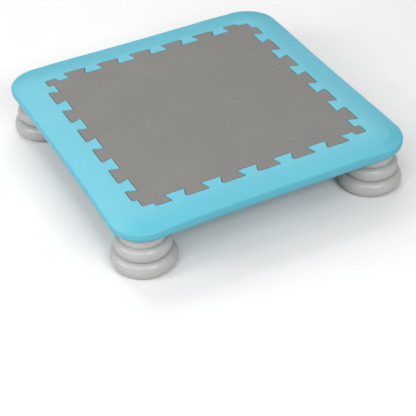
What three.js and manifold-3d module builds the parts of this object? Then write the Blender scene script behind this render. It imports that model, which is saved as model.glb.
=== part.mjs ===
// Square bounce board: a two-shell deck with an inlaid jigsaw-edged mat, standing on four air bellows.
// Millimetres, +Z up. The origin is on the floor under the middle of the board.

import * as THREE from 'three';
import { mergeVertices } from 'three/addons/utils/BufferGeometryUtils.js';
import Module from 'manifold-3d';

const wasm = await Module();
wasm.setup();

// ---- Driving dimensions ----
const boardHeight = 134;
const deckThickness = 42;
const deckHalfSide = 350.5;
const deckCornerRadius = 75;
const sideHollow = 3.5;
const rimWidth = 60;
const rimDrop = 6.8;
const cornerRimWidth = 31;
const cornerDroop = 3;
const topEdgeRadius = 3;
const bottomEdge = { across: 27, up: 24 };
const shellWall = 4;
const fitGap = 0.3;

const matCoreSide = 515;
const matTabsPerSide = 6;
const matTabTip = 55;
const matTabRoot = 37;
const matTabDepth = 24.5;
const matCornerSquare = 26;
const matThickness = 8;
const matGroove = 1.2;

const footOffset = 280;
const neckRadius = 50;
const middleRingRadius = 62;
const lowerRingRadius = 72;
const upperGroove = { radius: 48, z: 70 };
const lowerGroove = { radius: 54, z: 39 };
const soleOuterRadius = 53;
const soleInnerRadius = 34;
const bellowsWall = 4;

const ribThickness = 3;
const ribLines = [-140, 0, 140];
const ribReach = 320;
const towerRadius = 44;

// ---- Levels worked out from the driving dimensions ----
const deckTop = boardHeight;
const deckBottom = boardHeight - deckThickness;
const seam = deckTop - 16;
const underTop = deckTop - 2;
const recessFloor = deckTop - matThickness;
const matBedBottom = recessFloor - shellWall;
const cavityFloor = deckBottom + shellWall;
const ribMeeting = (cavityFloor + matBedBottom) / 2;
const seatDepth = 3;
const seatCeiling = deckBottom + seatDepth;
const seatPadTop = seatCeiling + shellWall;
const lipTop = seatCeiling - fitGap;
const lipBottom = lipTop - bellowsWall;

const corners = [
  { name: 'front_left', x: -1, y: -1 },
  { name: 'front_right', x: 1, y: -1 },
  { name: 'back_right', x: 1, y: 1 },
  { name: 'back_left', x: -1, y: 1 },
];

// ---- Materials, one per kind of piece ----
const finishes = {
  deckPlastic: { color: 0x7acbde, roughness: 0.42, metalness: 0 },
  matRubber: { color: 0x8b8a87, roughness: 0.85, metalness: 0 },
  bellowsRubber: { color: 0xc4c4c2, roughness: 0.5, metalness: 0 },
  innerPlastic: { color: 0x4a4d50, roughness: 0.6, metalness: 0 },
  valveRubber: { color: 0x9a9c9c, roughness: 0.7, metalness: 0 },
  screwSteel: { color: 0xb6b8ba, roughness: 0.35, metalness: 1 },
};

// ---- Turning geometry into solids and back ----
function toSolid(geometry) {
  const bare = geometry.clone();
  bare.deleteAttribute('normal');
  bare.deleteAttribute('uv');
  const merged = mergeVertices(bare, 1e-4);
  return new wasm.Manifold(new wasm.Mesh({
    numProp: 3,
    vertProperties: new Float32Array(merged.attributes.position.array),
    triVerts: new Uint32Array(merged.index.array),
  }));
}

function toGeometry(solid) {
  const result = solid.getMesh();
  const geometry = new THREE.BufferGeometry();
  geometry.setAttribute('position', new THREE.BufferAttribute(new Float32Array(result.vertProperties), 3));
  geometry.setIndex(new THREE.BufferAttribute(new Uint32Array(result.triVerts), 1));
  geometry.computeVertexNormals();
  return geometry;
}

function joinAll(solids) {
  return solids.reduce((whole, piece) => whole.add(piece));
}

function cutAll(solid, tools) {
  return tools.reduce((rest, tool) => rest.subtract(tool), solid);
}

// ---- Basic solids ----
function block(low, high) {
  const size = high.map((value, axis) => value - low[axis]);
  const geometry = new THREE.BoxGeometry(...size);
  geometry.translate(...low.map((value, axis) => value + size[axis] / 2));
  return toSolid(geometry);
}

function post(radius, bottom, top, x = 0, y = 0, sides = 8) {
  const geometry = new THREE.CylinderGeometry(radius, radius, top - bottom, sides);
  geometry.rotateX(Math.PI / 2);
  geometry.translate(x, y, (bottom + top) / 2);
  return toSolid(geometry);
}

// A solid of revolution about Z. The profile is a list of [radius, z] and runs upwards on its outer side.
function turned(profile, sides) {
  const points = profile.map(([radius, z]) => new THREE.Vector2(radius, z));
  const geometry = new THREE.LatheGeometry(points, sides);
  geometry.rotateX(Math.PI / 2);
  return toSolid(geometry);
}

// The deck's outline: a square with round corners and sides that are slightly hollow.
function deckOutline() {
  const straight = deckHalfSide - deckCornerRadius;
  const shape = new THREE.Shape();
  for (let quarter = 0; quarter < 4; quarter += 1) {
    const turn = quarter * Math.PI / 2;
    for (let step = 0; step <= 4; step += 1) {
      const along = straight * (step / 2 - 1);
      const across = deckHalfSide - sideHollow * (1 - (along / straight) ** 2);
      const point = new THREE.Vector2(across, along).rotateAround(new THREE.Vector2(), turn);
      if (quarter + step === 0) {
        shape.moveTo(point.x, point.y);
      } else {
        shape.lineTo(point.x, point.y);
      }
    }
    const middle = new THREE.Vector2(straight, straight).rotateAround(new THREE.Vector2(), turn);
    shape.absarc(middle.x, middle.y, deckCornerRadius, turn, turn + Math.PI / 2);
  }
  return shape;
}

function prism(shape, bottom, top) {
  const geometry = new THREE.ExtrudeGeometry(shape, { depth: top - bottom, bevelEnabled: false });
  geometry.translate(0, 0, bottom);
  return toSolid(geometry);
}

// A slab in the deck's outline, built up from rings, lowest first. Each ring has an inset from the outline,
// a level and, on the upper rim, a share of the corners' droop.
function ringedSlab(rings) {
  const steps = rings.length - 1;
  const settings = { depth: steps, steps, bevelEnabled: false, curveSegments: 4 };
  const geometry = new THREE.ExtrudeGeometry(deckOutline(), settings);
  const points = geometry.attributes.position;
  const straight = new THREE.Vector2(1, 1).multiplyScalar(deckHalfSide - deckCornerRadius);
  for (let index = 0; index < points.count; index += 1) {
    const [x, y] = [points.getX(index), points.getY(index)];
    const { inset, z, droop = 0 } = rings[Math.round(points.getZ(index))];
    const size = new THREE.Vector2(Math.abs(x), Math.abs(y));
    const drop = droop * cornerDroop * THREE.MathUtils.smoothstep(Math.min(size.x, size.y), 200, 325);
    const out = size.sub(straight).clampScalar(0, deckCornerRadius).setLength(inset);
    points.setXYZ(index, x - Math.sign(x) * out.x, y - Math.sign(y) * out.y, z - drop);
  }
  return toSolid(geometry);
}

// ---- The mat's outline ----
// One side of the mat, as [along, out] from one corner of the core square to the next.
function matSide(mirrored) {
  const pitch = matCoreSide / matTabsPerSide;
  const knob = matCornerSquare / 2;
  const side = [[knob, knob], [knob, 0]];
  for (let tab = 0; tab < matTabsPerSide - 1; tab += 1) {
    const centre = (0.75 + tab) * pitch;
    side.push([centre - matTabRoot / 2, 0], [centre - matTabTip / 2, matTabDepth]);
    side.push([centre + matTabTip / 2, matTabDepth], [centre + matTabRoot / 2, 0]);
  }
  const lastCentre = matCoreSide - pitch / 4;
  side.push([lastCentre - matTabRoot / 2, 0], [lastCentre - matTabTip / 2, matTabDepth]);
  side.push([matCoreSide - knob, matTabDepth], [matCoreSide - knob, knob]);
  return mirrored ? side.map(([along, out]) => [matCoreSide - along, out]).reverse() : side;
}

// The whole outline, anticlockwise. The half tabs meet at the front left and back right corners.
function matOutline() {
  const half = matCoreSide / 2;
  const knob = matCornerSquare / 2;
  const outline = [];
  for (let quarter = 0; quarter < 4; quarter += 1) {
    const turn = quarter * Math.PI / 2;
    const side = [...matSide(quarter % 2 === 1), [matCoreSide + knob, knob]];
    for (const [along, out] of side) {
      outline.push(new THREE.Vector2(half + out, along - half).rotateAround(new THREE.Vector2(), turn));
    }
  }
  return outline;
}

// Moves every edge of an anticlockwise outline outwards by the same distance.
function grownOutline(outline, distance) {
  return outline.map((point, index) => {
    const before = point.clone().sub(outline.at(index - 1)).normalize();
    const after = outline[(index + 1) % outline.length].clone().sub(point).normalize();
    const across = new THREE.Vector2(before.y + after.y, -before.x - after.x);
    return point.clone().addScaledVector(across, distance / (1 + before.dot(after)));
  });
}

// ---- Deck ----
const rimScrewSpots = [-1, 1].flatMap((sideX) => [-1, 1].flatMap((sideY) => [
  [140 * sideX, 312 * sideY],
  [312 * sideX, 140 * sideY],
]));
const shellScrewSpots = [[0, 0], ...rimScrewSpots];
const shellScrew = { headRadius: 4.7, headHeight: 3, shankRadius: 2, length: 20 };
const counterboreTop = deckBottom + 6;

function ribLattice(bottom, top) {
  const half = ribThickness / 2;
  const ribs = ribLines.flatMap((line) => [
    block([line - half, -ribReach, bottom], [line + half, ribReach, top]),
    block([-ribReach, line - half, bottom], [ribReach, line + half, top]),
  ]);
  return joinAll(ribs);
}

// Round walls over each foot, which carry the load from the deck's top into its foot seats.
function footTowers(bottom, top) {
  const towers = corners.map(({ x, y }) => {
    const outer = post(towerRadius, bottom, top, footOffset * x, footOffset * y, 16);
    const inner = post(towerRadius - shellWall, bottom - 1, top + 1, footOffset * x, footOffset * y, 16);
    return outer.subtract(inner);
  });
  return joinAll(towers);
}

// The deck's upper rim falls gently to a crisp edge, and a little more at its corners. The shift moves the
// whole profile inwards.
function rimRing(shift, inset) {
  const share = Math.max(rimWidth - inset, 0) / (rimWidth - topEdgeRadius);
  const droop = Math.max(cornerRimWidth - inset, 0) / (cornerRimWidth - topEdgeRadius);
  return { inset: inset + shift, z: deckTop - shift - rimDrop * share ** 1.2, droop };
}

function upperRimRings(shift) {
  const edgeTop = rimRing(shift, topEdgeRadius);
  const side = edgeTop.z - topEdgeRadius;
  return [
    { inset: shift, z: side, droop: 1 },
    { inset: shift + 0.3 * topEdgeRadius, z: side + 0.7 * topEdgeRadius, droop: 1 },
    edgeTop,
    ...[16, cornerRimWidth, 46, rimWidth].map((inset) => rimRing(shift, inset)),
  ];
}

function deckTopShell() {
  const whole = ringedSlab([{ inset: 0, z: seam + fitGap / 2 }, ...upperRimRings(0)]);
  const hollow = ringedSlab([{ inset: shellWall, z: seam - 5 }, ...upperRimRings(shellWall)]);
  const bedHalf = matCoreSide / 2 + matTabDepth + 6;
  const matBed = block([-bedHalf, -bedHalf, matBedBottom], [bedHalf, bedHalf, underTop]);
  const ribs = ribLattice(ribMeeting + fitGap / 2, underTop);
  const bosses = shellScrewSpots.map(([x, y]) => post(6, ribMeeting + fitGap / 2, underTop, x, y));
  const pilotTop = counterboreTop + shellScrew.length + 1;
  const pilotRadius = shellScrew.shankRadius + fitGap;
  const pilots = shellScrewSpots.map(([x, y]) => post(pilotRadius, seam - 20, pilotTop, x, y));
  const towers = footTowers(ribMeeting + fitGap / 2, underTop);
  const recess = prism(new THREE.Shape(grownOutline(matOutline(), matGroove)), recessFloor, deckTop + 1);
  const underRim = ringedSlab([{ inset: 1, z: ribMeeting }, ...upperRimRings(1)]);
  const inside = joinAll([matBed, ribs, towers, ...bosses]).intersect(underRim);
  return cutAll(whole.subtract(hollow).add(inside), [recess, ...pilots]);
}

const clampScrew = { headRadius: 4.2, headHeight: 2.5, shankRadius: 1.9, length: 17 };
const clampScrewCircle = 26;
const clampScrewOffsets = [45, 165, 285].map((degrees) => {
  const angle = degrees * Math.PI / 180;
  return [clampScrewCircle * Math.cos(angle), clampScrewCircle * Math.sin(angle)];
});

function lowerRimRings(shift) {
  return [90, 67.5, 45, 22.5, 0].map((degrees) => {
    const angle = degrees * Math.PI / 180;
    return {
      inset: bottomEdge.across - (bottomEdge.across - shift) * Math.cos(angle),
      z: deckBottom + bottomEdge.up - (bottomEdge.up - shift) * Math.sin(angle),
    };
  });
}

function deckBottomShell() {
  const whole = ringedSlab([...lowerRimRings(0), { inset: 0, z: seam - fitGap / 2 }]);
  const hollow = ringedSlab([...lowerRimRings(shellWall), { inset: shellWall, z: seam + 5 }]);
  const ribs = ribLattice(cavityFloor - 1, ribMeeting - fitGap / 2);
  const towers = footTowers(seatPadTop - 1, ribMeeting - fitGap / 2);
  const bosses = shellScrewSpots.map(([x, y]) => post(8.5, deckBottom + 1, ribMeeting - fitGap / 2, x, y));
  const feet = corners.map(({ x, y }) => [footOffset * x, footOffset * y]);
  const pads = feet.map(([x, y]) => post(neckRadius + shellWall, cavityFloor - 1, seatPadTop, x, y, 16));
  const seats = feet.map(([x, y]) => post(neckRadius + 0.9, deckBottom - 1, seatCeiling, x, y, 16));
  const counterbores = shellScrewSpots.map(([x, y]) => post(5.5, deckBottom - 1, counterboreTop, x, y));
  const shellHoles = shellScrewSpots.map(([x, y]) => post(2.5, deckBottom, seam, x, y));
  const clampHoles = feet.flatMap(([x, y]) => clampScrewOffsets.map(([dx, dy]) => (
    post(2.3, deckBottom, seam, x + dx, y + dy))));
  const body = joinAll([whole.subtract(hollow), ribs, ...bosses, ...pads, towers]);
  return cutAll(body, [...seats, ...counterbores, ...shellHoles, ...clampHoles]);
}

function jumpMat() {
  return prism(new THREE.Shape(matOutline()), recessFloor + fitGap, deckTop);
}

// ---- Feet ----
// Points of one bulging ring between two levels, bottom first. Its ends are on the grooves above and below.
function ringBulge(lowerEnd, upperEnd, crestRadius, steps) {
  const points = [];
  for (let step = 1; step < steps; step += 1) {
    const angle = Math.PI * step / steps;
    const along = (1 - Math.cos(angle)) / 2;
    const end = lowerEnd.radius + (upperEnd.radius - lowerEnd.radius) * along;
    const swell = Math.sin(angle) ** 0.8;
    points.push([end + (crestRadius - end) * swell, lowerEnd.z + (upperEnd.z - lowerEnd.z) * along]);
  }
  return points;
}

const valveHoleRadius = 9;
const valveRecess = 6;

// The air bellows: a soft one-piece moulding, open at the neck, with a valve hole in its recessed sole.
function footBellows() {
  const sole = { radius: soleOuterRadius, z: 0 };
  const thin = bellowsWall;
  const outer = [
    [soleInnerRadius, 0],
    [soleOuterRadius, 0],
    ...ringBulge(sole, lowerGroove, lowerRingRadius, 5),
    [lowerGroove.radius, lowerGroove.z],
    ...ringBulge(lowerGroove, upperGroove, middleRingRadius, 5),
    [upperGroove.radius, upperGroove.z],
    [neckRadius, upperGroove.z + 4],
    [neckRadius, lipTop],
    [neckRadius - 14, lipTop],
  ];
  const innerSole = { radius: soleOuterRadius - 1, z: thin };
  const innerLower = { radius: lowerGroove.radius - thin, z: lowerGroove.z };
  const innerUpper = { radius: upperGroove.radius - thin, z: upperGroove.z };
  const inner = [
    [valveHoleRadius, valveRecess + thin],
    [soleInnerRadius - 1, valveRecess + thin],
    [soleInnerRadius + 3, thin],
    [innerSole.radius, innerSole.z],
    ...ringBulge(innerSole, innerLower, lowerRingRadius - thin, 3),
    [innerLower.radius, innerLower.z],
    ...ringBulge(innerLower, innerUpper, middleRingRadius - thin, 3),
    [innerUpper.radius, innerUpper.z],
    [neckRadius - thin, innerUpper.z + 5],
    [neckRadius - thin, lipBottom],
    [neckRadius - 14, lipBottom],
  ].reverse();
  const closing = [[valveHoleRadius, valveRecess], [soleInnerRadius - 4, valveRecess], [soleInnerRadius, 0]];
  return turned([...outer, ...inner, ...closing], 16);
}

// The plate inside the neck that squeezes the bellows' lip against the deck.
function footClampPlate() {
  const top = seatCeiling - fitGap;
  const flangeTop = lipBottom - fitGap;
  const flangeBottom = flangeTop - 4;
  const bossBottom = flangeBottom - 9;
  const disc = turned([
    [0, flangeBottom],
    [neckRadius - bellowsWall - 0.8, flangeBottom],
    [neckRadius - bellowsWall - 0.8, flangeTop],
    [neckRadius - 14.6, flangeTop],
    [neckRadius - 14.6, top],
    [0, top],
  ], 16);
  const bosses = clampScrewOffsets.map(([x, y]) => post(5.5, bossBottom, flangeBottom + 1, x, y));
  const pilotBottom = seatPadTop - clampScrew.length - 1;
  const pilotRadius = clampScrew.shankRadius + fitGap;
  const pilots = clampScrewOffsets.map(([x, y]) => post(pilotRadius, pilotBottom, top + 1, x, y));
  return cutAll(joinAll([disc, ...bosses]), pilots);
}

function valveSeat() {
  return turned([
    [4.2, 2.6],
    [14, 2.6],
    [14, valveRecess - fitGap],
    [valveHoleRadius - fitGap, valveRecess - fitGap],
    [valveHoleRadius - fitGap, valveRecess + bellowsWall + 2],
    [7.5, valveRecess + bellowsWall + 5],
    [4.2, valveRecess + bellowsWall + 5],
    [4.2, 2.6],
  ], 10);
}

function valvePlug() {
  return turned([
    [0, 0.8],
    [6.5, 0.8],
    [7, 1.3],
    [7, 2.3],
    [3.9, 2.3],
    [3.9, 12],
    [2.6, 14],
    [0, 14],
  ], 10);
}

// ---- Screws ----
// A pan-head screw with its shank down and the underside of its head at z = 0.
function panHeadScrew({ headRadius, headHeight, shankRadius, length }) {
  const driveRadius = headRadius * 0.4;
  return turned([
    [0, -length],
    [shankRadius, -length + 3],
    [shankRadius, 0],
    [headRadius, 0],
    [headRadius * 0.8, headHeight],
    [driveRadius, headHeight],
    [0, headHeight * 0.4],
  ], 8);
}

// ---- Assembly ----
const board = new THREE.Group();

function place(name, geometry, finish, x = 0, y = 0, z = 0) {
  const mesh = new THREE.Mesh(geometry, new THREE.MeshStandardMaterial(finishes[finish]));
  mesh.name = name;
  mesh.position.set(x, y, z);
  board.add(mesh);
  return mesh;
}

place('deck_top_shell', toGeometry(deckTopShell()), 'deckPlastic');
place('deck_bottom_shell', toGeometry(deckBottomShell()), 'deckPlastic');
place('jump_mat', toGeometry(jumpMat()), 'matRubber');

const shellScrewGeometry = toGeometry(panHeadScrew(shellScrew));
const shellScrewLevel = counterboreTop - fitGap;
shellScrewSpots.forEach(([x, y], index) => {
  const screw = place(`shell_screw_${index + 1}`, shellScrewGeometry, 'screwSteel', x, y, shellScrewLevel);
  screw.rotation.x = Math.PI;
});

const footPieces = {
  foot_bellows: { geometry: toGeometry(footBellows()), finish: 'bellowsRubber' },
  foot_clamp_plate: { geometry: toGeometry(footClampPlate()), finish: 'innerPlastic' },
  foot_valve_seat: { geometry: toGeometry(valveSeat()), finish: 'valveRubber' },
  foot_valve_plug: { geometry: toGeometry(valvePlug()), finish: 'innerPlastic' },
};
const clampScrewGeometry = toGeometry(panHeadScrew(clampScrew));
for (const corner of corners) {
  const x = footOffset * corner.x;
  const y = footOffset * corner.y;
  for (const [piece, { geometry, finish }] of Object.entries(footPieces)) {
    place(`${piece}_${corner.name}`, geometry, finish, x, y);
  }
  clampScrewOffsets.forEach(([dx, dy], index) => {
    const name = `clamp_screw_${corner.name}_${index + 1}`;
    place(name, clampScrewGeometry, 'screwSteel', x + dx, y + dy, seatPadTop + fitGap);
  });
}

export default board;
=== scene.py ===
import math

import bmesh
import bpy
from mathutils import Matrix, Vector


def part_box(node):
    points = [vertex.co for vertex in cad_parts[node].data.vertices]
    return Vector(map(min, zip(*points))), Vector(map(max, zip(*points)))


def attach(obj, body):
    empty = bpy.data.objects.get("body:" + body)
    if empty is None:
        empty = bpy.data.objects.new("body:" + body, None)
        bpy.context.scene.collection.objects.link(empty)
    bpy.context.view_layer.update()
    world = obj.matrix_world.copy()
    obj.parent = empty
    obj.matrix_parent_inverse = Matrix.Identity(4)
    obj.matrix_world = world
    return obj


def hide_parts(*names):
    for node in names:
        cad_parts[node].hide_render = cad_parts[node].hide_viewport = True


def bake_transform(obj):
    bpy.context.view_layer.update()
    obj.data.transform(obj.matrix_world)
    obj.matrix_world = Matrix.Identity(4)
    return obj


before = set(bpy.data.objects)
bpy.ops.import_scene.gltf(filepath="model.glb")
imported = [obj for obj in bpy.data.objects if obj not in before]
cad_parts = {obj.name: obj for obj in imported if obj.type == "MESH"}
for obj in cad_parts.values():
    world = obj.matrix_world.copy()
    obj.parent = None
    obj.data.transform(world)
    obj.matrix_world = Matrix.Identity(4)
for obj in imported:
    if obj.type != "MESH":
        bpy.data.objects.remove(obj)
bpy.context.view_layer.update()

MM = 0.001

# ---- Sizes, in metres, from the frame where it says them ----
TOP_SHELL_LOW, TOP_SHELL_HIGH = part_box("deck_top_shell")
MAT_LOW, MAT_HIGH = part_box("jump_mat")
DECK_HALF = TOP_SHELL_HIGH.x
DECK_TOP = TOP_SHELL_HIGH.z
DECK_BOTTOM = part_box("deck_bottom_shell")[0].z
SEAM = DECK_TOP - 16 * MM
SEAM_GAP = 0.3 * MM
CORNER_RADIUS = 75 * MM
SIDE_HOLLOW = 3.5 * MM
RIM_WIDTH = 60 * MM
RIM_DROP = 6.8 * MM
CORNER_RIM_WIDTH = 31 * MM
CORNER_DROOP = 3 * MM
TOP_EDGE = 3 * MM
RIM_INSETS_MM = (4, 7, 10, 13, 16, 19, 22, 25, 27, 29, 30, 31, 32, 33, 35, 38, 42, 46, 50, 54, 57, 59, 60)
BOTTOM_EDGE_ACROSS = 27 * MM
BOTTOM_EDGE_UP = 24 * MM
DECK_WALL = 3.2 * MM
RIB_INSET = 5.5 * MM
SEAT_GAP = 0.9 * MM
SEAT_DEPTH = 3 * MM
COUNTERBORE_RADIUS = 5.5 * MM
COUNTERBORE_DEPTH = 6 * MM
SHELL_SCREW_HOLE = 2.5 * MM
CLAMP_SCREW_HOLE = 2.3 * MM
SIDE_STEPS = 8
ARC_STEPS = 24

MAT_CORE = 515 * MM
MAT_TABS = 6
TAB_TIP = 55 * MM
TAB_ROOT = 37 * MM
TAB_DEPTH = MAT_HIGH.x - MAT_CORE / 2
CORNER_KNOB = 13 * MM
MAT_GROOVE = 1.2 * MM
TAB_ROUNDING = 3 * MM
MAT_EDGE = 1.0 * MM
RECESS_EDGE = 0.8 * MM
RECESS_FLOOR = MAT_LOW.z - SEAM_GAP
BED_MARGIN = 5.5 * MM
BED_DEPTH = 1.5 * MM

CORNERS = ["front_left", "front_right", "back_right", "back_left"]
NECK_RADIUS = 50 * MM
MIDDLE_CREST = 62 * MM
LOWER_CREST = 72 * MM
UPPER_GROOVE = (48 * MM, 70 * MM)
LOWER_GROOVE = (54 * MM, 39 * MM)
SOLE_OUTER = 53 * MM
SOLE_INNER = 34 * MM
BELLOWS_WALL = 4 * MM
LIP_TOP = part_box("foot_bellows_front_left")[1].z
LIP_BOTTOM = LIP_TOP - BELLOWS_WALL
LIP_WIDTH = 14 * MM
VALVE_HOLE = 9 * MM
VALVE_RECESS = 6 * MM

SHELL_SCREW = {"head": 4.7 * MM, "height": 3 * MM, "shank": 2 * MM, "length": 20 * MM}
CLAMP_SCREW = {"head": 4.2 * MM, "height": 2.5 * MM, "shank": 1.9 * MM, "length": 17 * MM}
THREAD_PITCH = 1.6 * MM
THREAD_ROOT = 0.72  # as a share of the shank's radius
CLAMP_BOSS_RADIUS = 5.5 * MM
FLANGE_THICKNESS = 4 * MM
FIT_GAP = 0.3 * MM
OVERCUT = 0.015 * MM  # how far a fine cut goes past the CAD's own, so that no two faces coincide

# ---- Colours and light ----
DECK_DARK = (0.062, 0.325, 0.410)
DECK_LIGHT = (0.068, 0.341, 0.429)
MAT_DARK = (0.148, 0.146, 0.137)
MAT_LIGHT = (0.163, 0.160, 0.151)
BELLOWS_DARK = (0.315, 0.320, 0.312)
BELLOWS_LIGHT = (0.352, 0.352, 0.346)
FLOOR_DARK = (0.645, 0.645, 0.643)
FLOOR_LIGHT = (0.67, 0.67, 0.668)
WORLD_STRENGTH = 0.33
KEY_POWER = 43
OVERHEAD_POWER = 3
PANEL_POWER = 40
ACCENT_POWER = 11
FILL_POWER = 56
KICKER_POWER = 31


# ---- Camera ----
def make_camera():
    """The viewpoint: an adult's eye height, in front of the board and to its left, with a long lens."""
    data = bpy.data.cameras.new("camera")
    data.lens = 104.7
    data.sensor_width = 36
    data.clip_end = 50
    camera = bpy.data.objects.new("camera", data)
    bpy.context.scene.collection.objects.link(camera)
    camera.location = (-1.0112, -2.0638, 1.6660)
    aim = Vector((-0.1572, -0.3410, DECK_TOP))
    roll = math.radians(-1.848)
    turn = (aim - camera.location).to_track_quat("-Z", "Y")
    camera.rotation_mode = "QUATERNION"
    camera.rotation_quaternion = turn @ Matrix.Rotation(roll, 3, "Z").to_quaternion()
    bpy.context.scene.camera = camera


# ---- Mesh tools ----
def new_object(name, mesh, smooth_angle=35):
    """A linked object around a mesh, shaded smooth except over edges sharper than the angle."""
    obj = bpy.data.objects.new(name, mesh)
    bpy.context.scene.collection.objects.link(obj)
    mesh.polygons.foreach_set("use_smooth", [True] * len(mesh.polygons))
    mesh.set_sharp_from_angle(angle=math.radians(smooth_angle))
    return obj


def mesh_from(name, vertices, faces):
    mesh = bpy.data.meshes.new(name)
    mesh.from_pydata([tuple(v) for v in vertices], [], faces)
    mesh.validate()
    mesh.update()
    return mesh


def loft_mesh(name, rings, close_on_itself=False):
    """Skin over rings of equal length that run up the outside; capped unless it closes on itself."""
    count = len(rings[0])
    vertices = [point for ring in rings for point in ring]
    faces = []
    bands = len(rings) if close_on_itself else len(rings) - 1
    for band in range(bands):
        low = band * count
        high = (band + 1) % len(rings) * count
        for k in range(count):
            after = (k + 1) % count
            faces.append((low + k, low + after, high + after, high + k))
    if not close_on_itself:
        faces.append(tuple(reversed(range(count))))
        faces.append(tuple(range((len(rings) - 1) * count, len(rings) * count)))
    return mesh_from(name, vertices, faces)


def circle(radius, z, centre=(0, 0), segments=20):
    angles = [2 * math.pi * k / segments for k in range(segments)]
    return [(centre[0] + radius * math.cos(a), centre[1] + radius * math.sin(a), z) for a in angles]


def turned_mesh(name, profile, centre=(0, 0), segments=96):
    """A solid of revolution. Its profile runs up the outside and closes on itself or ends on the axis."""
    on_axis = profile[0][0] < 1e-7 and profile[-1][0] < 1e-7
    body = profile[1:-1] if on_axis else profile
    rings = [circle(radius, z, centre, segments) for radius, z in body]
    if not on_axis:
        return loft_mesh(name, rings, close_on_itself=True)
    mesh = loft_mesh(name, rings)
    shape = bmesh.new()
    shape.from_mesh(mesh)
    for cap in [face for face in shape.faces if len(face.verts) == segments]:
        at_start = abs(cap.verts[0].co.z - body[0][1]) < 0.01 * MM
        poked = bmesh.ops.poke(shape, faces=[cap])
        poked["verts"][0].co.z = profile[0][1] if at_start else profile[-1][1]
    shape.to_mesh(mesh)
    shape.free()
    return mesh


def post_mesh(radius, low, high, centre=(0, 0), segments=32):
    return turned_mesh("post", [(0, low), (radius, low), (radius, high), (0, high)], centre, segments)


def box_mesh(low, high):
    shape = bmesh.new()
    bmesh.ops.create_cube(shape, size=1)
    size = Vector(high) - Vector(low)
    middle = (Vector(high) + Vector(low)) / 2
    bmesh.ops.scale(shape, vec=size, verts=shape.verts)
    bmesh.ops.translate(shape, vec=middle, verts=shape.verts)
    mesh = bpy.data.meshes.new("box")
    shape.to_mesh(mesh)
    shape.free()
    return mesh


def combine(mesh, operation, tools):
    """The mesh cut by, joined with or kept inside each tool mesh in turn."""
    scene = bpy.context.scene.collection
    for tool_mesh in tools:
        base = bpy.data.objects.new("base", mesh)
        tool = bpy.data.objects.new("tool", tool_mesh)
        scene.objects.link(base)
        scene.objects.link(tool)
        modifier = base.modifiers.new("boolean", "BOOLEAN")
        modifier.operation = operation
        modifier.solver = "MANIFOLD"
        modifier.object = tool
        graph = bpy.context.evaluated_depsgraph_get()
        result = bpy.data.meshes.new_from_object(base.evaluated_get(graph))
        bpy.data.objects.remove(base)
        bpy.data.objects.remove(tool)
        mesh = result
    return mesh


def cad_mesh(node):
    """A copy of a CAD node's mesh with its split points joined, so that it is one closed surface."""
    shape = bmesh.new()
    shape.from_mesh(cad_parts[node].data)
    bmesh.ops.remove_doubles(shape, verts=shape.verts, dist=1e-6)
    mesh = bpy.data.meshes.new(node)
    shape.to_mesh(mesh)
    shape.free()
    return mesh


def finish_piece(obj, body, material, node):
    """Gives a piece its material and its body, and hides the CAD node that it stands for."""
    obj.data.materials.clear()
    obj.data.materials.append(material)
    if body:
        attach(obj, body)
    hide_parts(node)


def weigh_normals(obj):
    """Lets large flat faces keep flat shading beside small rounded edges."""
    modifier = obj.modifiers.new("weighted", "WEIGHTED_NORMAL")
    modifier.mode = "FACE_AREA"
    modifier.keep_sharp = True
    graph = bpy.context.evaluated_depsgraph_get()
    obj.data = bpy.data.meshes.new_from_object(obj.evaluated_get(graph))
    obj.modifiers.clear()


# ---- Outlines ----
def mat_side(mirrored):
    """One side of the mat as (along, out) points from one corner of its core square to the next."""
    pitch = MAT_CORE / MAT_TABS
    side = [(CORNER_KNOB, CORNER_KNOB), (CORNER_KNOB, 0)]
    for tab in range(MAT_TABS - 1):
        centre = (0.75 + tab) * pitch
        side += [(centre - TAB_ROOT / 2, 0), (centre - TAB_TIP / 2, TAB_DEPTH)]
        side += [(centre + TAB_TIP / 2, TAB_DEPTH), (centre + TAB_ROOT / 2, 0)]
    last = MAT_CORE - pitch / 4
    side += [(last - TAB_ROOT / 2, 0), (last - TAB_TIP / 2, TAB_DEPTH)]
    side += [(MAT_CORE - CORNER_KNOB, TAB_DEPTH), (MAT_CORE - CORNER_KNOB, CORNER_KNOB)]
    return [(MAT_CORE - along, out) for along, out in reversed(side)] if mirrored else side


def mat_outline():
    """The mat's whole outline with sharp corners, anticlockwise."""
    outline = []
    for quarter in range(4):
        side = mat_side(quarter % 2 == 1) + [(MAT_CORE + CORNER_KNOB, CORNER_KNOB)]
        turn = Matrix.Rotation(quarter * math.pi / 2, 2)
        outline += [turn @ Vector((MAT_CORE / 2 + out, along - MAT_CORE / 2)) for along, out in side]
    return outline


def rounded_outline(outline, grow, rounding, z, steps=5):
    """The outline moved outwards by grow, with every corner an arc."""
    count = len(outline)
    moved = []
    bends = []
    for k, point in enumerate(outline):
        before = (point - outline[k - 1]).normalized()
        after = (outline[(k + 1) % count] - point).normalized()
        across = Vector((before.y + after.y, -before.x - after.x))
        moved.append(point + across * (grow / (1 + before.dot(after))))
        bends.append(math.atan2(before.x * after.y - before.y * after.x, before.dot(after)))
    points = []
    for k, point in enumerate(moved):
        before = (point - moved[k - 1]).normalized()
        after = (moved[(k + 1) % count] - point).normalized()
        bend = bends[k]
        radius = rounding + grow if bend > 0 else rounding - grow
        reach = radius * math.tan(abs(bend) / 2)
        side = 1 if bend > 0 else -1
        start = point - before * reach
        centre = start + Vector((-before.y, before.x)) * radius * side
        spoke = start - centre
        for step in range(steps + 1):
            turned = Matrix.Rotation(bend * step / steps, 2) @ spoke
            points.append((centre.x + turned.x, centre.y + turned.y, z))
    return points


# ---- Deck ----
def smooth_step(value, low, high):
    share = min(max((value - low) / (high - low), 0), 1)
    return share * share * (3 - 2 * share)


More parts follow.
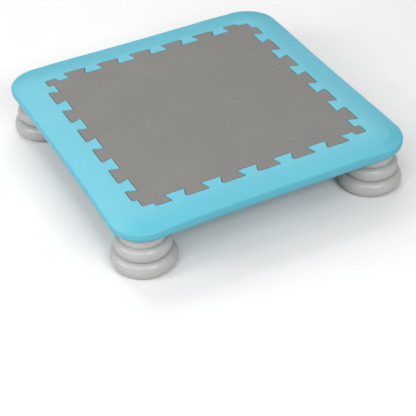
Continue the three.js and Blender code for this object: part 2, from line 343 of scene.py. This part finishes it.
def deck_ring(inset, z, droop=0):
    """Points round the deck's outline moved in by inset; the corners take that share of their droop."""
    straight = DECK_HALF - CORNER_RADIUS
    quarter_points = []
    for step in range(SIDE_STEPS):
        along = straight * (2 * step / SIDE_STEPS - 1)
        across = DECK_HALF - SIDE_HOLLOW * (1 - (along / straight) ** 2)
        quarter_points.append((across - inset, along, abs(along)))
    for step in range(ARC_STEPS):
        angle = math.pi / 2 * step / ARC_STEPS
        radius = CORNER_RADIUS - inset
        reach = straight + CORNER_RADIUS * min(math.cos(angle), math.sin(angle))
        x, y = straight + radius * math.cos(angle), straight + radius * math.sin(angle)
        quarter_points.append((x, y, reach))
    points = []
    for quarter in range(4):
        turn = Matrix.Rotation(quarter * math.pi / 2, 2)
        for across, along, reach in quarter_points:
            spot = turn @ Vector((across, along))
            drop = droop * CORNER_DROOP * smooth_step(reach, 200 * MM, 325 * MM)
            points.append((spot.x, spot.y, z - drop))
    return points


def rim_level(inset, shift):
    """Inset, level and share of droop on the upper rim's gentle fall, the whole profile moved in by shift."""
    share = max(RIM_WIDTH - inset, 0) / (RIM_WIDTH - TOP_EDGE)
    droop = max(CORNER_RIM_WIDTH - inset, 0) / (CORNER_RIM_WIDTH - TOP_EDGE)
    return inset + shift, DECK_TOP - shift - RIM_DROP * share ** 1.2, droop


def upper_slab(name, shift, start_z):
    """The deck's upper half from start_z on its side to its top, moved in by shift."""
    side = rim_level(TOP_EDGE, shift)[1] - TOP_EDGE
    levels = [(shift + 0.25 * MM, start_z, 0), (shift, start_z + 0.25 * MM, 0)]
    for step in range(7):
        angle = math.radians(78) * step / 6
        levels.append((shift + TOP_EDGE * (1 - math.cos(angle)), side + TOP_EDGE * math.sin(angle), 1))
    for inset in RIM_INSETS_MM:
        levels.append(rim_level(inset * MM, shift))
    levels.append((RIM_WIDTH + shift + 1 * MM, DECK_TOP - shift, 0))
    return loft_mesh(name, [deck_ring(*level) for level in levels])


def lower_slab(name, shift, end_z):
    """The deck's lower half from its flat underside to end_z on its side, moved in by shift."""
    levels = [(BOTTOM_EDGE_ACROSS + 0.5 * MM, DECK_BOTTOM + shift)]
    steps = 32
    for step in range(steps + 1):
        angle = math.pi / 2 * (1 - step / steps)
        inset = BOTTOM_EDGE_ACROSS - (BOTTOM_EDGE_ACROSS - shift) * math.cos(angle)
        levels.append((inset, DECK_BOTTOM + BOTTOM_EDGE_UP - (BOTTOM_EDGE_UP - shift) * math.sin(angle)))
    levels += [(shift, end_z - 0.25 * MM), (shift + 0.25 * MM, end_z)]
    return loft_mesh(name, [deck_ring(*level) for level in levels])


def recess_mesh():
    """The space cut for the mat, flared at the top for a rounded lip."""
    outline = mat_outline()
    groove = MAT_GROOVE + OVERCUT
    rings = [rounded_outline(outline, groove, TAB_ROUNDING, RECESS_FLOOR - OVERCUT)]
    steps = 4
    for k in range(steps + 1):
        angle = math.pi / 2 * k / steps
        grow = groove + RECESS_EDGE * (1 - math.cos(angle))
        z = DECK_TOP - RECESS_EDGE * (1 - math.sin(angle))
        rings.append(rounded_outline(outline, grow, TAB_ROUNDING, z))
    rings.append([(x, y, DECK_TOP + 2 * MM) for x, y, z in rings[-1]])
    return loft_mesh("recess", rings)


def make_deck_top(material):
    """The upper shell: a smooth outside round the CAD shell's own ribs and bosses, and the mat's recess."""
    cad_shell = cad_mesh("deck_top_shell")
    bed_half = MAT_HIGH.x + BED_MARGIN
    bed = box_mesh((-bed_half, -bed_half, RECESS_FLOOR - BED_DEPTH), (bed_half, bed_half, DECK_TOP))
    below = TOP_SHELL_LOW.z - 1 * MM
    inside = combine(upper_slab("hollow", DECK_WALL, below), "DIFFERENCE", [bed, cad_shell])
    ribs = combine(cad_shell, "INTERSECT", [upper_slab("keep", RIB_INSET, below)])
    shell = combine(upper_slab("deck_top", 0, SEAM + SEAM_GAP / 2), "DIFFERENCE", [inside])
    shell = combine(shell, "UNION", [ribs])
    shell = combine(shell, "DIFFERENCE", [recess_mesh()])
    obj = new_object("deck_top", shell)
    weigh_normals(obj)
    finish_piece(obj, "deck", material, "deck_top_shell")


def screw_spots(prefix):
    """The middle of every CAD screw whose name starts with the prefix."""
    spots = {}
    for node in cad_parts:
        if node.startswith(prefix):
            low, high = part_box(node)
            spots[node] = ((low.x + high.x) / 2, (low.y + high.y) / 2)
    return spots


def foot_centres():
    centres = {}
    for corner in CORNERS:
        low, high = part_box(f"foot_bellows_{corner}")
        centres[corner] = ((low.x + high.x) / 2, (low.y + high.y) / 2)
    return centres


def make_deck_bottom(material):
    """The lower shell: a smooth outside round the CAD shell's own inside, with round seats and holes."""
    hollow = lower_slab("hollow", DECK_WALL, SEAM + 2 * MM)
    inside = combine(hollow, "DIFFERENCE", [cad_mesh("deck_bottom_shell")])
    shell = combine(lower_slab("deck_bottom", 0, SEAM - SEAM_GAP / 2), "DIFFERENCE", [inside])
    below = DECK_BOTTOM - 5 * MM
    cuts = []
    for x, y in foot_centres().values():
        radius, ceiling = NECK_RADIUS + SEAT_GAP + OVERCUT, DECK_BOTTOM + SEAT_DEPTH + OVERCUT
        cuts.append(post_mesh(radius, below, ceiling, (x, y), 96))
    for x, y in screw_spots("shell_screw").values():
        ceiling = DECK_BOTTOM + COUNTERBORE_DEPTH + OVERCUT
        cuts.append(post_mesh(COUNTERBORE_RADIUS + OVERCUT, below, ceiling, (x, y)))
        cuts.append(post_mesh(SHELL_SCREW_HOLE + OVERCUT, DECK_BOTTOM, SEAM, (x, y), 16))
    for x, y in screw_spots("clamp_screw").values():
        cuts.append(post_mesh(CLAMP_SCREW_HOLE + OVERCUT, DECK_BOTTOM, SEAM, (x, y), 16))
    shell = combine(shell, "DIFFERENCE", cuts)
    obj = new_object("deck_bottom", shell)
    weigh_normals(obj)
    finish_piece(obj, "deck", material, "deck_bottom_shell")


def make_mat(material):
    """The foam mat, rounded along its top edge."""
    outline = mat_outline()
    rings = [rounded_outline(outline, 0, TAB_ROUNDING, MAT_LOW.z)]
    steps = 5
    for k in range(steps + 1):
        angle = math.pi / 2 * k / steps
        grow = -MAT_EDGE * (1 - math.cos(angle))
        z = MAT_HIGH.z - MAT_EDGE * (1 - math.sin(angle))
        rings.append(rounded_outline(outline, grow, TAB_ROUNDING, z))
    rings.append(rounded_outline(outline, -MAT_EDGE - 0.3 * MM, TAB_ROUNDING, MAT_HIGH.z))
    obj = new_object("mat", loft_mesh("mat", rings))
    finish_piece(obj, "deck", material, "jump_mat")


# ---- Feet ----
def bulge(lower, upper, crest, steps):
    """Points of one bulging ring between two grooves, bottom first, without its ends."""
    points = []
    for k in range(1, steps):
        angle = math.pi * k / steps
        along = (1 - math.cos(angle)) / 2
        end = lower[0] + (upper[0] - lower[0]) * along
        radius = end + (crest - end) * math.sin(angle) ** 0.8
        points.append((radius, lower[1] + (upper[1] - lower[1]) * along))
    return points


def sole_rings():
    """The flat sole from its inner to its outer edge, with two shallow grip grooves pressed into it."""
    points = [(SOLE_INNER, 0.6 * MM), (SOLE_INNER + 0.6 * MM, 0)]
    for middle in (40 * MM, 47 * MM):
        for offset, depth in ((-1.2, 0), (-0.8, 0.8), (0.8, 0.8), (1.2, 0)):
            points.append((middle + offset * MM, depth * MM))
    return points + [(SOLE_OUTER - 1 * MM, 0)]


def bellows_profile():
    """A foot's wall: up its outside, over the lip and back down its inside to the recessed sole."""
    sole = (SOLE_OUTER, 0)
    wall = BELLOWS_WALL
    outer = sole_rings() + [sole]
    outer += bulge(sole, LOWER_GROOVE, LOWER_CREST, 22) + [LOWER_GROOVE]
    outer += bulge(LOWER_GROOVE, UPPER_GROOVE, MIDDLE_CREST, 20) + [UPPER_GROOVE]
    outer += [(NECK_RADIUS - 0.5 * MM, UPPER_GROOVE[1] + 2 * MM), (NECK_RADIUS, UPPER_GROOVE[1] + 5 * MM)]
    outer += [(NECK_RADIUS, LIP_TOP - 0.5 * MM), (NECK_RADIUS - 0.5 * MM, LIP_TOP)]
    outer += [(NECK_RADIUS - LIP_WIDTH, LIP_TOP)]
    inner_sole = (SOLE_OUTER - 1 * MM, wall)
    inner_lower = (LOWER_GROOVE[0] - wall, LOWER_GROOVE[1])
    inner_upper = (UPPER_GROOVE[0] - wall, UPPER_GROOVE[1])
    inner = [(VALVE_HOLE, VALVE_RECESS + wall), (SOLE_INNER - 1 * MM, VALVE_RECESS + wall)]
    inner += [(SOLE_INNER + 3 * MM, wall), inner_sole]
    inner += bulge(inner_sole, inner_lower, LOWER_CREST - wall, 14) + [inner_lower]
    inner += bulge(inner_lower, inner_upper, MIDDLE_CREST - wall, 14) + [inner_upper]
    inner += [(NECK_RADIUS - wall, inner_upper[1] + 5 * MM), (NECK_RADIUS - wall, LIP_BOTTOM)]
    inner += [(NECK_RADIUS - LIP_WIDTH, LIP_BOTTOM)]
    closing = [(VALVE_HOLE, VALVE_RECESS), (SOLE_INNER - 4 * MM, VALVE_RECESS)]
    return outer + inner[::-1] + closing


def make_bellows(corner, centre, material):
    mesh = turned_mesh(f"bellows_{corner}", bellows_profile(), centre, 96)
    obj = new_object(f"bellows_{corner}", mesh, 60)
    finish_piece(obj, None, material, f"foot_bellows_{corner}")
    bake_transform(obj)


# ---- Screws, clamp plates and valves ----
def thread_rings(screw, segments):
    """Rings up a screw's shank from its tip, with a helical thread running round them."""
    rings = []
    steps = round(screw["length"] / THREAD_PITCH * 6)
    for step in range(steps + 1):
        z = (0.4 * MM - screw["length"]) * (1 - step / steps) - 1 * MM * step / steps
        crest = screw["shank"] * min((z + screw["length"]) / (3 * MM), 1)
        ring = []
        for k, (x, y, level) in enumerate(circle(crest, z, segments=segments)):
            wave = abs(2 * ((z / THREAD_PITCH - k / segments) % 1) - 1)
            depth = THREAD_ROOT + (1 - THREAD_ROOT) * wave
            ring.append((x * depth, y * depth, level))
        rings.append(ring)
    return rings


def screw_mesh(name, screw, segments=20):
    """A pan-head screw with a cross recess; its shank points down and its head sits on z = 0."""
    shank, head, height = screw["shank"], screw["head"], screw["height"]
    profile = [(shank, -0.8 * MM), (shank, 0), (head - 0.2 * MM, 0), (head, 0.2 * MM), (head, 0.3 * height)]
    for step in range(1, 7):
        angle = math.pi / 2 * step / 6
        profile.append((head * (0.65 + 0.35 * math.cos(angle)), height * (0.3 + 0.7 * math.sin(angle))))
    rings = thread_rings(screw, segments) + [circle(radius, z, segments=segments) for radius, z in profile]
    reach, half, floor = 0.52 * head, 0.12 * head, 0.42 * height
    cross = [
        box_mesh((-reach, -half, floor), (reach, half, height + 1 * MM)),
        box_mesh((-half, -reach, floor), (half, reach, height + 1 * MM)),
    ]
    return combine(loft_mesh(name, rings), "DIFFERENCE", cross)


def make_screws(prefix, screw, head_up, material):
    """One screw pattern, copied to the place of every CAD screw of its kind."""
    pattern = screw_mesh(prefix, screw)
    for node, (x, y) in screw_spots(prefix).items():
        low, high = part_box(node)
        seat = high.z - screw["height"] if head_up else low.z + screw["height"]
        mesh = pattern.copy()
        turn = Matrix.Rotation(0 if head_up else math.pi, 4, "X")
        mesh.transform(Matrix.Translation((x, y, seat)) @ turn)
        finish_piece(new_object(f"{node}_fine", mesh), "deck", material, node)


def make_clamp_plate(corner, centre, material):
    """The plate inside a foot's neck, with a raised middle and three screw bosses."""
    low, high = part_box(f"foot_clamp_plate_{corner}")
    edge = 0.6 * MM
    flange_top = LIP_BOTTOM - FIT_GAP
    flange_low = flange_top - FLANGE_THICKNESS
    outer = NECK_RADIUS - BELLOWS_WALL - 0.8 * MM
    inner = NECK_RADIUS - LIP_WIDTH - 2 * FIT_GAP
    profile = [(0, flange_low), (outer - edge, flange_low), (outer, flange_low + edge)]
    profile += [(outer, flange_top - edge), (outer - edge, flange_top), (inner, flange_top)]
    profile += [(inner, high.z - edge), (inner - edge, high.z), (0, high.z)]
    plate = turned_mesh(f"clamp_plate_{corner}", profile, centre, 72)
    spots = screw_spots(f"clamp_screw_{corner}").values()
    bosses = [post_mesh(CLAMP_BOSS_RADIUS, low.z, flange_low + 1 * MM, spot) for spot in spots]
    plate = combine(plate, "UNION", bosses)
    pilot = CLAMP_SCREW["shank"] + FIT_GAP
    holes = [post_mesh(pilot, low.z + 3.6 * MM, high.z + 1 * MM, spot, 20) for spot in spots]
    obj = new_object(f"clamp_plate_{corner}", combine(plate, "DIFFERENCE", holes))
    finish_piece(obj, "deck", material, f"foot_clamp_plate_{corner}")


def make_valve(corner, centre, seat_material, plug_material):
    """The rubber seat in the sole and the plug pressed into it."""
    bore, flange, neck = 4.2 * MM, 14 * MM, VALVE_HOLE - FIT_GAP
    step = VALVE_RECESS - FIT_GAP
    top = VALVE_RECESS + BELLOWS_WALL + 5 * MM
    edge = 0.4 * MM
    low = 2.6 * MM
    seat = [(bore, low + edge), (bore + edge, low), (flange - edge, low), (flange, low + edge)]
    seat += [(flange, step - edge), (flange - edge, step), (neck, step), (neck, top - 3 * MM)]
    seat += [(7.5 * MM, top - edge), (7.5 * MM - edge, top), (bore + edge, top), (bore, top - edge)]
    obj = new_object(f"valve_seat_{corner}", turned_mesh(f"valve_seat_{corner}", seat, centre, 48))
    finish_piece(obj, f"foot_{corner}", seat_material, f"foot_valve_seat_{corner}")
    plug = [(0, 0.8), (5.9, 0.8), (6.6, 1.0), (7, 1.4), (7, 1.9), (6.8, 2.2), (6.5, 2.3), (3.9, 2.3)]
    plug += [(3.9, 6), (3.6, 6.3), (3.6, 7.2), (3.9, 7.5), (3.9, 12), (2.8, 13.8), (2.4, 14), (0, 14)]
    plug_profile = [(radius * MM, z * MM) for radius, z in plug]
    obj = new_object(f"valve_plug_{corner}", turned_mesh(f"valve_plug_{corner}", plug_profile, centre, 40))
    finish_piece(obj, f"foot_{corner}", plug_material, f"foot_valve_plug_{corner}")


# ---- Materials ----
def new_material(name, **settings):
    """A material whose shader has the given settings, underscores in their names standing for spaces."""
    material = bpy.data.materials.new(name)
    material.use_nodes = True
    shader = material.node_tree.nodes["Principled BSDF"]
    for setting, value in settings.items():
        shader.inputs[setting.replace("_", " ")].default_value = value
    return material


def add_noise(material, scale, detail=3.0, roughness=0.5, stretch=(1, 1, 1)):
    """The value of a noise texture laid out in the piece's own coordinates."""
    nodes, links = material.node_tree.nodes, material.node_tree.links
    place = nodes.new("ShaderNodeTexCoord")
    mapping = nodes.new("ShaderNodeMapping")
    mapping.inputs["Scale"].default_value = stretch
    noise = nodes.new("ShaderNodeTexNoise")
    noise.inputs["Scale"].default_value = scale
    noise.inputs["Detail"].default_value = detail
    noise.inputs["Roughness"].default_value = roughness
    links.new(place.outputs["Object"], mapping.inputs["Vector"])
    links.new(mapping.outputs["Vector"], noise.inputs["Vector"])
    return noise.outputs["Fac"]


def color_between(material, value, darker, lighter):
    """Base colour that runs between two colours over the middle of the value's range."""
    nodes, links = material.node_tree.nodes, material.node_tree.links
    ramp = nodes.new("ShaderNodeValToRGB")
    ramp.color_ramp.elements[0].position = 0.3
    ramp.color_ramp.elements[0].color = (*darker, 1)
    ramp.color_ramp.elements[1].position = 0.7
    ramp.color_ramp.elements[1].color = (*lighter, 1)
    links.new(value, ramp.inputs["Fac"])
    links.new(ramp.outputs["Color"], nodes["Principled BSDF"].inputs["Base Color"])


def roughness_between(material, value, low, high):
    nodes, links = material.node_tree.nodes, material.node_tree.links
    spread = nodes.new("ShaderNodeMapRange")
    spread.inputs["From Min"].default_value = 0.3
    spread.inputs["From Max"].default_value = 0.7
    spread.inputs["To Min"].default_value = low
    spread.inputs["To Max"].default_value = high
    links.new(value, spread.inputs["Value"])
    links.new(spread.outputs["Result"], nodes["Principled BSDF"].inputs["Roughness"])


def bump_from(material, value, depth, strength=1.0):
    """Tiny relief from the value, its full range being depth high, on top of any relief set before."""
    nodes, links = material.node_tree.nodes, material.node_tree.links
    shader = nodes["Principled BSDF"]
    bump = nodes.new("ShaderNodeBump")
    bump.inputs["Distance"].default_value = depth
    bump.inputs["Strength"].default_value = strength
    links.new(value, bump.inputs["Height"])
    if shader.inputs["Normal"].links:
        links.new(shader.inputs["Normal"].links[0].from_socket, bump.inputs["Normal"])
    links.new(bump.outputs["Normal"], shader.inputs["Normal"])


def make_deck_plastic():
    """Satin moulded plastic: even pale blue with a hint of flow marks and a fine stipple."""
    material = new_material("deck_plastic", IOR=1.55, Specular_IOR_Level=0.4)
    color_between(material, add_noise(material, 5, 3), DECK_DARK, DECK_LIGHT)
    roughness_between(material, add_noise(material, 60, 4), 0.36, 0.46)
    bump_from(material, add_noise(material, 9, 2), 0.5 * MM, 0.2)
    bump_from(material, add_noise(material, 1300, 2), 0.03 * MM, 0.5)
    return material


def make_mat_rubber():
    """Matte foam: neutral grey, finely grained, with faint scuffing."""
    material = new_material("mat_rubber", Specular_IOR_Level=0.28)
    color_between(material, add_noise(material, 8, 6, 0.6), MAT_DARK, MAT_LIGHT)
    roughness_between(material, add_noise(material, 120, 4), 0.68, 0.85)
    bump_from(material, add_noise(material, 700, 4, 0.6), 0.12 * MM, 0.6)
    return material


def make_bellows_rubber():
    """Soft light grey vinyl with a low gloss and slightly uneven walls."""
    material = new_material("bellows_rubber", IOR=1.53)
    color_between(material, add_noise(material, 18, 4), BELLOWS_DARK, BELLOWS_LIGHT)
    roughness_between(material, add_noise(material, 70, 3), 0.3, 0.42)
    bump_from(material, add_noise(material, 45, 2, 0.4, (1, 1, 2)), 1.2 * MM, 0.12)
    bump_from(material, add_noise(material, 900, 2), 0.03 * MM, 0.5)
    return material


def make_inner_plastic():
    """Dark moulded nylon."""
    material = new_material("inner_plastic")
    color_between(material, add_noise(material, 60, 4), (0.055, 0.06, 0.065), (0.085, 0.09, 0.095))
    roughness_between(material, add_noise(material, 150, 3), 0.5, 0.65)
    bump_from(material, add_noise(material, 1500, 2), 0.03 * MM, 0.6)
    return material


def make_valve_rubber():
    """Mid grey rubber with a dry surface."""
    material = new_material("valve_rubber")
    color_between(material, add_noise(material, 90, 4), (0.29, 0.30, 0.30), (0.35, 0.36, 0.36))
    roughness_between(material, add_noise(material, 200, 3), 0.62, 0.78)
    bump_from(material, add_noise(material, 1200, 3), 0.04 * MM, 0.6)
    return material


def make_screw_steel():
    """Zinc-plated steel, a little cloudy."""
    material = new_material("screw_steel", Metallic=1.0)
    color_between(material, add_noise(material, 250, 3), (0.50, 0.52, 0.54), (0.66, 0.67, 0.66))
    roughness_between(material, add_noise(material, 500, 4), 0.24, 0.42)
    bump_from(material, add_noise(material, 2500, 2), 0.01 * MM, 0.5)
    return material


def make_floor_paint():
    """Matt white paint."""
    material = new_material("floor_paint")
    color_between(material, add_noise(material, 3, 3), FLOOR_DARK, FLOOR_LIGHT)
    roughness_between(material, add_noise(material, 20, 3), 0.8, 0.95)
    return material


# ---- Studio ----
def make_studio():
    """Soft white light: a faint surround, boxes left, above, beyond and in front, and one low on the left."""
    world = bpy.data.worlds.new("studio")
    bpy.context.scene.world = world
    world.use_nodes = True
    backdrop = world.node_tree.nodes["Background"]
    backdrop.inputs["Color"].default_value = (1, 1, 1, 1)
    backdrop.inputs["Strength"].default_value = WORLD_STRENGTH
    floor = new_object("floor", box_mesh((-8, -8, -0.02), (8, 8, 0)))
    floor.data.materials.append(make_floor_paint())
    add_softbox("key", (-1.9, -1.5, 2.2), (1.6, 1.6), KEY_POWER)
    add_softbox("overhead", (0, -0.2, 3.0), (2.4, 2.4), OVERHEAD_POWER)
    add_softbox("panel", (0.7, 1.9, 1.95), (3.2, 1.5), PANEL_POWER)
    add_softbox("accent", (-0.6, 1.3, 2.4), (0.6, 0.6), ACCENT_POWER)
    add_softbox("fill", (0, -2.55, 1.95), (1.6, 1.0), FILL_POWER)
    add_softbox("kicker", (-2.4, 0.1, 1.45), (1.0, 0.8), KICKER_POWER)


def add_softbox(name, location, size, power):
    data = bpy.data.lights.new(name, "AREA")
    data.shape = "RECTANGLE"
    data.size, data.size_y = size
    data.energy = power
    lamp = bpy.data.objects.new(name, data)
    bpy.context.scene.collection.objects.link(lamp)
    lamp.location = location
    lamp.rotation_mode = "QUATERNION"
    lamp.rotation_quaternion = (Vector((0, 0, 0.1)) - lamp.location).to_track_quat("-Z", "Y")


make_camera()
make_studio()
bpy.context.scene.view_settings.view_transform = "Standard"
deck_plastic = make_deck_plastic()
mat_rubber = make_mat_rubber()
bellows_rubber = make_bellows_rubber()
inner_plastic = make_inner_plastic()
valve_rubber = make_valve_rubber()
screw_steel = make_screw_steel()
make_deck_top(deck_plastic)
make_deck_bottom(deck_plastic)
make_mat(mat_rubber)
make_screws("shell_screw", SHELL_SCREW, False, screw_steel)
make_screws("clamp_screw", CLAMP_SCREW, True, screw_steel)
for corner_name, foot_centre in foot_centres().items():
    make_bellows(corner_name, foot_centre, bellows_rubber)
    make_clamp_plate(corner_name, foot_centre, inner_plastic)
    make_valve(corner_name, foot_centre, valve_rubber, inner_plastic)
